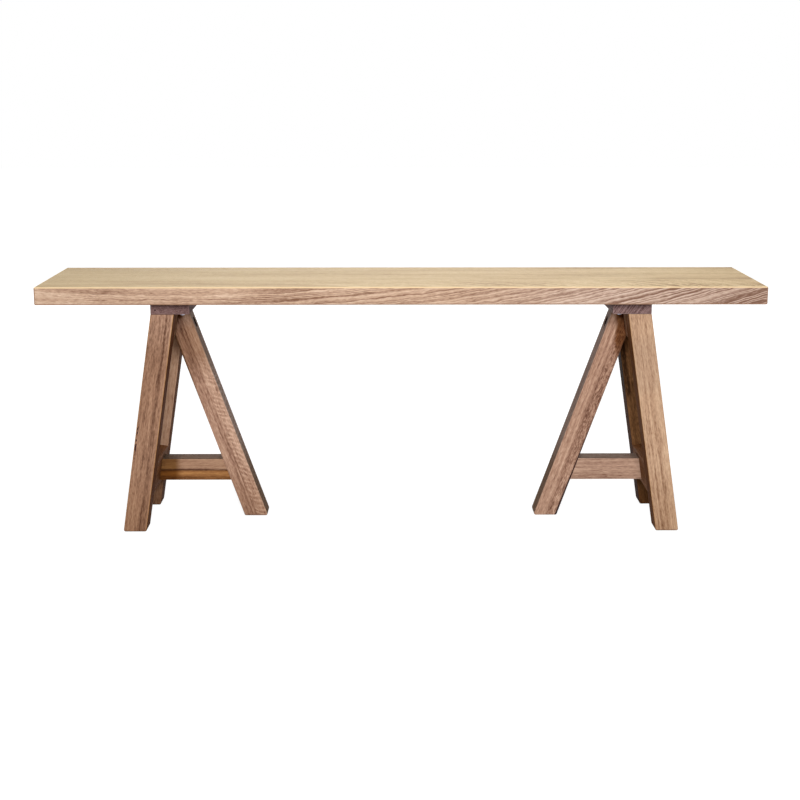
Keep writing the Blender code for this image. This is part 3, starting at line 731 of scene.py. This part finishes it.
def crook(finish, colour):
    """Painted shade where a third leg beds on the rail, darker in the corner where both meet the
    bearer.
    """
    away = from_the_rail(finish)
    high = finish.ease(finish.height(), LEG_TOP - 0.026, LEG_TOP - 0.020)
    bedded = finish.glazed(finish.ease(away, 0.002, 0.0002), colour, CROOK_SHADE)
    corner = finish.times(finish.ease(away, 0.012, 0.006), high)
    return finish.glazed(corner, bedded, CORNER_SHADE)


def shaded_counterbore(finish, colour, point, width):
    """Painted shade: blacken what lies inside the leg's faces, near its top and within the drill's
    radius.
    """
    across, over, along = finish.split(finish.vector("ABSOLUTE", point))
    drilled = finish.ease(over, COUNTERBORE_RADIUS + 0.0006, COUNTERBORE_RADIUS)
    within = finish.times(drilled, finish.ease(along, 0.10, 0.12))
    wall = finish.minus(1.0, looks_inward(finish))
    rim = finish.times(finish.ease(across, width / 2 + 0.0002, width / 2 - 0.0002), wall)
    inside = finish.ease(across, width / 2 - 0.0006, width / 2 - 0.0012)
    deep = finish.maths("MAXIMUM", rim, inside)
    return finish.mixed(finish.times(within, deep), colour, COUNTERBORE_SHADE)


print(f"counterbore {2000 * COUNTERBORE_RADIUS:.0f} mm wide, near the top of each third leg")

# %% [markdown]
# ## Marks of one leg alone
#
# The left front leg has a vein of dark gum specks down its outer side. The right one is duller for
# a stretch, and the rear legs get painted shade beside the rails. The left third leg gets painted
# shade near the crook, with a painted shadow of the outer leg down its outer margin, and the right
# one has an amber zone of painted shade there and a near-black streak. They could be painted on,
# but paint is a picture and hard to change. Each mark is a mask instead: ease() makes its edges,
# and two masks multiplied give their overlap. Edges are in metres, from the middle of the leg or
# from the floor.

# %% Mark the outer legs
BEAD_LUMPS = (220, 220, 150)
GUM = stain(44, 22, 30)
FRESHER = (1.32, 1.42, 1.52, 1.0)
DULLER = (0.90, 0.90, 0.91, 1.0)
# Painted shade on a rear leg, under the lower rail and beside the upper one.
REAR_RAIL_SHADE = (0.62, 0.56, 0.50, 1.0)


def gum_vein(finish, colour, point, width):
    """The left front leg: dark specks in a row down its outer side, and a fresher top."""
    across, over, along = finish.split(point)
    line = finish.ease(finish.maths("ABSOLUTE", finish.plus(across, 0.44 * width)), 0.0017, 0.0006)
    reach = finish.times(finish.ease(along, -0.072, -0.060), finish.ease(along, 0.0, -0.008))
    beads = finish.ease(finish.noise(point, BEAD_LUMPS, 1.0), 0.45, 0.53)
    spots = finish.times(finish.times(line, beads), reach)
    topped = finish.glazed(finish.ease(along, 0.12, 0.19), colour, FRESHER)
    return shaded_leg(finish, finish.mixed(spots, topped, GUM))


def dull_stretch(finish, colour, point, width):
    """The right front leg: duller between 28 and 34 cm above the floor."""
    height = finish.height()
    stretch = finish.times(finish.ease(height, 0.372, 0.345), finish.ease(height, 0.245, 0.275))
    return shaded_leg(finish, finish.glazed(stretch, colour, DULLER))


def shaded_rear_ends(finish, colour, point, width):
    """A rear leg: painted shade under the lower rail and beside the upper one."""
    leg_shaded = shaded_leg(finish, colour)
    height = finish.height()
    ends = finish.plus(finish.ease(height, 0.105, 0.085), finish.ease(height, 0.28, 0.35))
    return finish.glazed(ends, leg_shaded, REAR_RAIL_SHADE)


print("outer legs: gum specks, a dull stretch, dusty ends")

# %% Mark the third legs
RAGGED_LUMPS = (260, 260, 40)
# Painted shade near the third legs' crooks: a dim glaze, an olive shadow, an amber glaze.
TOP_SHADE_GLAZE = (0.64, 0.58, 0.51, 1.0)
OUTER_LEG_SHADOW = (0.30, 0.23, 0.13, 1.0)
CROOK_AMBER_SHADE = (0.42, 0.28, 0.16, 1.0)
NEAR_BLACK = stain(58, 36, 34)


def shaded_third_top(finish, colour, point, width):
    """The left third leg: painted shade for a hand's width below the crook, and a painted olive
    shadow down its outer margin.
    """
    across, over, along = finish.split(point)
    darker_low = darker_foot(finish, colour)
    fading = finish.ease(along, 0.190, 0.160, 0.25, 1.0)
    shade = finish.times(finish.ease(along, 0.05, 0.13), fading)
    lower = finish.glazed(shade, darker_low, TOP_SHADE_GLAZE)
    edge = finish.ease(across, -0.40 * width, -0.47 * width)
    margin = finish.times(edge, finish.ease(along, -0.02, 0.12))
    edged = narrow_side(finish, finish.glazed(margin, lower, OUTER_LEG_SHADOW))
    return shaded_counterbore(finish, crook(finish, edged), point, width)


def dark_edge(finish, colour, point, width):
    """The right third leg: a streak that widens down its outer side, and amber painted shade in the
    crook.
    """
    across, over, along = finish.split(point)
    start = finish.plus(0.50 * width, finish.times(along, 0.012))
    inside = finish.ease(across, finish.minus(start, 0.0022), finish.minus(start, 0.0006))
    streak = finish.times(inside, finish.ease(along, 0.02, -0.08))
    streaked = finish.mixed(streak, narrow_side(finish, colour), NEAR_BLACK)
    rough_edge = swing(finish, finish.noise(point, RAGGED_LUMPS, 3.0), 0.012)
    ragged = finish.plus(from_the_rail(finish), rough_edge)
    flared = finish.plus(ragged, finish.times(finish.ease(along, 0.196, 0.130), -0.012))
    crook_shade_zone = finish.times(finish.ease(flared, 0.017, 0.0095), finish.ease(along, 0.09, 0.15))
    amber = finish.glazed(crook_shade_zone, streaked, CROOK_AMBER_SHADE)
    return shaded_counterbore(finish, crook(finish, amber), point, width)


print("third legs: a dim top, an amber crook, a dark edge")

# %% [markdown]
# ## Stains, and the middle of a bevelled leg
#
# The sticks come from different boards. One set of stains for all would be quicker, but a real
# bench shows a brown leg beside a rosy one. Each stick is turned to its own lean, so that its grain
# runs from the foot to the seat, and the recipe starts at the middle of its box. Only a third leg's
# box is wider than the leg, because its top is cut to a long bevel, so its middle is worked out
# from the top of its inner side.

# %% Place and stain the sticks
BROWN = (stain(88, 58, 44), stain(150, 113, 90), stain(184, 146, 118))
PALE = (stain(122, 86, 62), stain(186, 150, 122), stain(212, 180, 150))
ROSY = (stain(108, 74, 60), stain(172, 134, 112), stain(210, 174, 150))
PINKISH = (stain(124, 88, 72), stain(187, 152, 130), stain(214, 181, 160))
FRESH = (stain(120, 80, 61), stain(182, 143, 116), stain(208, 172, 145))
DUSKY = (stain(82, 54, 40), stain(146, 110, 86), stain(180, 144, 116))
AMBER = (stain(58, 36, 20), stain(118, 81, 50), stain(158, 116, 76))
GOLDEN_WORN_LIT_ARRIS = stain(178, 128, 72)


def third_leg_middle(name, side):
    """The middle of a third leg: down its lean from the top of its inner side."""
    low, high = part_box(name)
    half = LEG_WIDTH / 2 / math.cos(math.radians(INNER_LEAN))
    rise = (low.z + high.z) / 2
    drop = (LEG_TOP - rise) * math.tan(math.radians(INNER_LEAN))
    return (side * (THIRD_LEG_INNER_TOP - drop + half), (low.y + high.y) / 2, rise)


left_middle = third_leg_middle("left_inner_leg", -1)
print("the left third leg's middle:", [round(c, 3) for c in left_middle])

# %% [markdown]
# ## The legs
#
# From a distance the broad layers tell the legs apart, such as the dark line down the left front
# leg and the pale one down the right third leg. Layers are (share across the leg, push) pairs from
# the left side to the right, and a push above nothing is paler. The front legs also have golden
# arrises, where the stain is rubbed off and a painted highlight stands for the light they catch.
# Six blocks of code would do the same as the table, but a table keeps in sight what differs.

# %% Finish the legs
LEFT_FRONT_LAYERS = ((0.0, -0.05), (0.18, 0.02), (0.40, 0.06), (0.60, -0.05),
                     (0.70, -0.20), (0.80, -0.06), (0.90, 0.06), (1.0, 0.18))
LEFT_THIRD_LAYERS = ((0.0, 0.08), (0.12, -0.14), (0.28, -0.05), (0.36, -0.24),
                     (0.43, -0.02), (0.50, -0.20), (0.58, 0.10), (1.0, 0.12))
RIGHT_FRONT_LAYERS = ((0.0, 0.14), (0.12, 0.0), (0.24, 0.05), (0.32, -0.18),
                      (0.40, 0.04), (0.65, -0.02), (0.85, 0.06), (1.0, 0.10))
RIGHT_THIRD_LAYERS = ((0.0, 0.02), (0.20, 0.16), (0.30, -0.04), (0.40, 0.26),
                      (0.50, 0.0), (0.60, -0.14), (0.85, -0.05), (1.0, -0.14))
# Arris colours: wear with a painted highlight, golden on the front legs.
FRONT_ARRIS = (0.5, GOLDEN_WORN_LIT_ARRIS)
PLAIN_ARRIS = (0.25, None)

# Name, lean, stains, tree's middle, year, seed, layers, figure and touch of each leg.
LEGS = (
    ("left_outer_front_leg", OUTER_LEAN, BROWN, (0.16, 0.10), 0.0042, 1.0,
     LEFT_FRONT_LAYERS, None, gum_vein),
    ("left_outer_rear_leg", OUTER_LEAN, FRESH, (0.12, -0.14), 0.0040, 2.0,
     None, None, shaded_rear_ends),
    ("left_inner_leg", -INNER_LEAN, ROSY, (0.03, 0.30), 0.0046, 3.0,
     LEFT_THIRD_LAYERS, ripple, shaded_third_top),
    ("right_outer_front_leg", -OUTER_LEAN, PALE, (0.17, 0.12), 0.0048, 9.0,
     RIGHT_FRONT_LAYERS, None, dull_stretch),
    ("right_outer_rear_leg", -OUTER_LEAN, AMBER, (0.14, -0.1), 0.0045, 10.0,
     None, third_leg_shadow_band, shaded_rear_ends),
    ("right_inner_leg", INNER_LEAN, ROSY, (0.05, 0.26), 0.0050, 11.0,
     RIGHT_THIRD_LAYERS, mottle, dark_edge),
)
for name, lean, stains, pith, ring, seed, stops, figure, touch in LEGS:
    side = -1 if name.startswith("left") else 1
    centre = third_leg_middle(name, side) if "inner" in name else middle_of(name)
    arris, worn_lit_arris_colour = FRONT_ARRIS if "front" in name else PLAIN_ARRIS
    dress(timber(f"{name}_wood", centre, leaning(lean), stains, pith, ring, width=LEG_WIDTH,
                 seed=seed, rings=0.12, streaks=0.34, fibres=0.36, flecks=0.62, stops=stops,
                 figure=figure, arris=arris, worn_lit_arris_colour=worn_lit_arris_colour, gloss=0.03,
                 touch=touch), name)
print("legs finished:", len(LEGS))

# %% [markdown]
# ## Rails and stretchers
#
# The rails run from front to back, so the camera sees little of them. The left stretcher was sawn
# at the edge of the heartwood: its upper half is plain brown, and its lower one has a golden stripe
# over a dark one. It could be made as two pieces, but it is one stick, so layers and a glaze tell
# the halves apart. Both stretchers get painted shade on their tops, under the seat, and the left
# one a painted shadow where it meets the frame. The lower rails get painted shade on their inner
# sides and tops.

# %% Shade the rails and stretchers
GOLDEN_GLAZE = (0.96, 0.76, 0.42, 1.0)
# Painted shade on the stretcher tops, a painted shadow at a joint, painted shade on the lower
# rails.
STRETCHER_TOP_SHADE = (0.41, 0.40, 0.38, 1.0)
JOINT_SHADOW = (0.45, 0.35, 0.18, 1.0)
RAIL_SIDE_SHADE = (0.62, 0.44, 0.24, 1.0)


def shaded_stretcher(finish, colour, point, width):
    """Painted shade on the top of a stretcher, and a painted shadow where the left one meets the
    frame.
    """
    place = finish.split(finish.place())[0]
    topped = finish.glazed(looks_up(finish), colour, STRETCHER_TOP_SHADE)
    joint = finish.ease(place, -0.414, -0.430)
    return finish.glazed(joint, topped, JOINT_SHADOW)


def heartwood_edge(finish, colour, point, width):
    """Turn the lower half of the stretcher golden; across counts downwards here."""
    low = finish.ease(finish.split(point)[0], 0.0, 0.003)
    golden = finish.glazed(low, colour, GOLDEN_GLAZE)
    return shaded_stretcher(finish, golden, point, width)


def shaded_rail(finish, colour, point, width):
    """A lower rail: painted shade on its inner side and its top, as on the legs beside it."""
    sides = finish.maths("MAXIMUM", looks_inward(finish), looks_up(finish))
    return finish.glazed(sides, colour, RAIL_SIDE_SHADE)


print("the lower half of the left stretcher keeps", GOLDEN_GLAZE[2], "of its blue")

# %% Finish the rails and stretchers
RAIL_WIDTH = 0.041
RAIL_YEAR = 0.0046

# From the top of a stretcher down.
SPLIT_LAYERS = ((0.0, 0.24), (0.44, 0.18), (0.53, -0.42), (0.60, -0.12),
                (0.70, 0.16), (0.84, -0.20), (1.0, -0.34))
DARK_BELOW = ((0.0, 0.02), (0.5, 0.0), (0.7, -0.05), (1.0, -0.07))

# Name, grain, stains, tree's middle, seed, layers and touch of each rail and stretcher.
RAILS = (
    ("left_upper_rail", GRAIN_ALONG_Y, DUSKY, (0.2, 0.12), 5.0, None, None),
    ("left_lower_rail", GRAIN_ALONG_Y, DUSKY, (-0.2, 0.10), 6.0, None, shaded_rail),
    ("left_stretcher", GRAIN_ALONG_X, BROWN, (0.1, 0.2), 8.0, SPLIT_LAYERS, heartwood_edge),
    ("right_upper_rail", GRAIN_ALONG_Y, DUSKY, (0.22, 0.1), 12.0, None, None),
    ("right_lower_rail", GRAIN_ALONG_Y, DUSKY, (-0.18, 0.14), 13.0, None, shaded_rail),
    ("right_stretcher", GRAIN_ALONG_X, PINKISH, (0.12, 0.16), 14.0, DARK_BELOW, shaded_stretcher),
)
for name, turn, stains, pith, seed, stops, touch in RAILS:
    dress(timber(f"{name}_wood", middle_of(name), turn, stains, pith, RAIL_YEAR,
                 width=RAIL_WIDTH, seed=seed, rings=0.14, streaks=0.34, fibres=0.32, flecks=0.42,
                 stops=stops, touch=touch), name)
print("rails and stretchers finished:", len(RAILS))

# %% [markdown]
# ## The bearers
#
# A bearer's end looks straight at the camera, so what shows is end grain: dark, purplish, with the
# years as slanting lines. The left one has a small round hole near its outer corner, from a nail
# that was pulled out. The hole could be cut into the mesh, but at 3 mm it is no more than a dark
# dot, so a spot of colour does.

# %% Finish the bearers
BEARER_STAINS = (stain(62, 42, 43), stain(122, 96, 91), stain(160, 132, 127))
PLUM_STAINS = (stain(76, 54, 53), stain(140, 114, 109), stain(176, 149, 144))
BEARER_END_STAIN = (0.84, 0.80, 0.82, 1.0)
BEARER_WIDTH = 0.07
# A painted shadow of the seat, on the top of each bearer.
SEAT_SHADOW = stain(26, 13, 12)
NAIL_RUST = stain(34, 20, 22)
NAIL_ASIDE = 0.0262
NAIL_BELOW = 0.0026


def seat_shadow_on_top(finish, colour, point, width):
    """A painted shadow of the seat on the top of the bearer; over counts downwards here."""
    top = finish.ease(finish.split(point)[1], -0.0058, -0.0082)
    return finish.mixed(top, colour, SEAT_SHADOW)


def seat_shadow_and_nail(finish, colour, point, width):
    """The same, with a dark spot, 3 mm across, near the outer corner of the front end."""
    across, over, along = finish.split(point)
    aside = finish.plus(across, NAIL_ASIDE)
    below = finish.minus(over, NAIL_BELOW)
    squares = finish.plus(finish.times(aside, aside), finish.times(below, below))
    reach = finish.maths("SQRT", squares)
    hole = finish.times(finish.ease(reach, 0.0017, 0.0010), finish.ease(along, -0.10, -0.11))
    return finish.mixed(hole, seat_shadow_on_top(finish, colour, point, width), NAIL_RUST)


# Name, stains, tree's middle, year, strength of the years, seed and touch of each bearer.
BEARERS = (
    ("left_bearer", BEARER_STAINS, (0.06, 0.30), 0.0040, 0.16, 15.0, seat_shadow_and_nail),
    ("right_bearer", PLUM_STAINS, (0.235, 0.18), 0.0044, 0.44, 16.0, seat_shadow_on_top),
)
for name, stains, pith, ring, rings, seed, touch in BEARERS:
    dress(timber(f"{name}_wood", middle_of(name), GRAIN_ALONG_Y, stains, pith, ring,
                 width=BEARER_WIDTH, seed=seed, rings=rings, streaks=0.2, fibres=0.4, flecks=0.5,
                 pores=0.5, end_stain=BEARER_END_STAIN, touch=touch), name)
print("bearers finished:", len(BEARERS))

# %% [markdown]
# ## Loose tenons and hardware
#
# The tenons are bare beech. The bolts up into the seat, their washers and the screws are zinc
# plated, with a faint blue cast and a cloudy sheen. The bolt and the washer in each third leg are
# blackened, and the inserts are brass. A metal has no colour under its surface: its colour is the
# colour of its reflection. So one plain grey would look like paint, and a cloud that changes both
# colour and roughness does most of the work.

# %% Finish the tenons and the metal
BEECH_STAINS = (stain(150, 112, 82), stain(202, 166, 128), stain(222, 190, 152))
BEECH_MIDDLE = (0, 0, 0.09)
CLOUD_LUMPS = (260, 260, 260)
SCRATCH_LUMPS = (900, 900, 90)


def plated(name, dull, bright, rough_low, rough_high, seed):
    """A cloudy metal: two colours and two roughnesses mixed by one soft noise."""
    finish = Finish(name)
    place = moved(finish, finish.place(), seed)
    cloud = finish.noise(place, CLOUD_LUMPS, 3.0, 0.6)
    scratch = finish.noise(place, SCRATCH_LUMPS, 2.0)
    colour = finish.mixed(finish.ease(cloud, 0.35, 0.65), dull, bright)
    finish.feed(finish.shader.inputs["Base Color"], colour)
    satin = finish.ease(cloud, 0.3, 0.7, rough_low, rough_high)
    finish.feed(finish.shader.inputs["Roughness"], finish.plus(satin, finish.times(scratch, 0.08)))
    finish.shader.inputs["Metallic"].default_value = 1.0
    return finish.material


beech = timber("tenon_beech", BEECH_MIDDLE, GRAIN_ALONG_Y, BEECH_STAINS, (0.2, 0.1), 0.003,
               seed=17.0, pores=0.2, rings=0.15)
zinc = plated("zinc_steel", stain(168, 172, 190), stain(206, 210, 228), 0.30, 0.44, 1.0)
blackened = plated("dark_steel", stain(24, 18, 15), stain(44, 34, 28), 0.5, 0.65, 2.0)
brass = plated("insert_brass", stain(150, 118, 60), stain(205, 170, 98), 0.28, 0.45, 3.0)
dress(beech, *(name for name in bench if name.endswith("_tenon")))
dress(blackened, *(name for name in bench if name.endswith(("leg_bolt", "leg_bolt_washer"))))
dress(brass, *(name for name in bench if name.endswith("_insert")))
dress(zinc, *(name for name in bench if name not in finished))
print("pieces without a finish:", sorted(set(bench) - finished))

# %% [markdown]
# ## The floor
#
# A studio floor is paper that runs up behind the object, and the picture should show it as plain
# white. More lamps would do that and bleach the bench as well. Instead the paper glows for the
# camera, and for what a shiny or a clear part shows of it, and it is a greyer paper to the light
# that bounces off it. So the undersides stay dark, and the shadow of the bench still lies on it.

# %% Lay the floor
FLOOR_HALF = 12.0
FLOOR_DROP = 0.0005
FLOOR_GREY = (0.30, 0.30, 0.30, 1.0)
FLOOR_ROUGHNESS = 0.9
WHITE = (1, 1, 1, 1)


def seen_directly(graph):
    """One for the camera, and for rays that left a mirror-like or a clear surface."""
    path = graph.add("ShaderNodeLightPath", {}).node
    seen = graph.maths("MAXIMUM", path.outputs["Is Camera Ray"], path.outputs["Is Glossy Ray"])
    return graph.maths("MAXIMUM", seen, path.outputs["Is Transmission Ray"])


corners = [(x * FLOOR_HALF, y * FLOOR_HALF, 0) for x, y in ((-1, -1), (1, -1), (1, 1), (-1, 1))]
floor_mesh = bpy.data.meshes.new("studio_floor")
floor_mesh.from_pydata(corners, [], [(0, 1, 2, 3)])
floor = bpy.data.objects.new("studio_floor", floor_mesh)
floor.location.z = -FLOOR_DROP
bpy.context.scene.collection.objects.link(floor)

paper = Finish("studio_paper")
paper.shader.inputs["Base Color"].default_value = FLOOR_GREY
paper.shader.inputs["Roughness"].default_value = FLOOR_ROUGHNESS
paper.shader.inputs["Specular IOR Level"].default_value = 0.0
grey = paper.shader.outputs[0]
glow = paper.ease(paper.length(paper.place()), 1.2, 4.0, 0.9, 1.0)
white = paper.add("ShaderNodeEmission", {"Color": WHITE, "Strength": glow})
lit = paper.add("ShaderNodeAddShader", {0: white, 1: grey})
sheet = paper.add("ShaderNodeMixShader", {0: seen_directly(paper), 1: grey, 2: lit})
paper.feed(paper.tree.nodes["Material Output"].inputs["Surface"], sheet)
floor_mesh.materials.append(paper.material)
print("floor:", 2 * FLOOR_HALF, "m wide")

# %% [markdown]
# ## The lights
#
# One hard lamp would show the shapes, but with black shadows and a hot spot. Soft boxes let every
# edge read. The strongest stands just above the camera, a small one hangs over the seat, and a
# third stands behind for the back. Two small ones stand high at the ends, where the seat keeps
# their light off the inner sides of the legs. The air gives a little light from everywhere, and it
# is white where the camera looks past the floor.

# %% Hang the lights
# Name, place, target, width, height and watts of each soft box.
SOFT_BOXES = (
    ("overhead_box", (0.0, -0.3, 1.9), (0, 0, 0.4), 0.8, 0.6, 15),
    ("front_box", (0.0, -2.9, 1.2), BENCH_MIDDLE, 1.3, 1.0, 90),
    ("back_box", (0.0, 3.4, 0.7), (0, 0, 0.3), 2.2, 1.0, 50),
    ("left_box", (-2.3, 0.0, 1.5), (-0.6, 0, 0.3), 0.5, 0.5, 10),
    ("right_box", (2.3, 0.0, 1.5), (0.6, 0, 0.3), 0.5, 0.5, 10),
)


def soft_box(name, place, target, width, height, watts):
    """A rectangular lamp that looks at a point."""
    lamp = bpy.data.lights.new(name, "AREA")
    lamp.shape = "RECTANGLE"
    lamp.size = width
    lamp.size_y = height
    lamp.energy = watts
    holder = bpy.data.objects.new(name, lamp)
    holder.location = place
    look = Vector(target) - Vector(place)
    holder.rotation_euler = look.to_track_quat("-Z", "Y").to_euler()
    bpy.context.scene.collection.objects.link(holder)


for row in SOFT_BOXES:
    soft_box(*row)
print("soft boxes:", len(SOFT_BOXES), "with", sum(row[-1] for row in SOFT_BOXES), "watts")

# %% Fill the air
AIR_LIGHT = 0.09
AIR_SEEN = 1.0


class Air(Finish):
    """The same notebook, opened on the world instead of on a material."""

    def __init__(self, name):
        self.world = bpy.data.worlds.new(name)
        self.world.use_nodes = True
        self.tree = self.world.node_tree


air = Air("studio_air")
bpy.context.scene.world = air.world
dim = air.tree.nodes["Background"]
dim.inputs["Color"].default_value = WHITE
dim.inputs["Strength"].default_value = AIR_LIGHT
bright = air.add("ShaderNodeBackground", {"Color": WHITE, "Strength": AIR_SEEN})
choice = air.add("ShaderNodeMixShader", {0: seen_directly(air), 1: dim.outputs[0], 2: bright})
air.feed(air.tree.nodes["World Output"].inputs["Surface"], choice)
print("the air lights with", AIR_LIGHT, "and shows as", AIR_SEEN)

# %% [markdown]
# Finishes can't change a size.
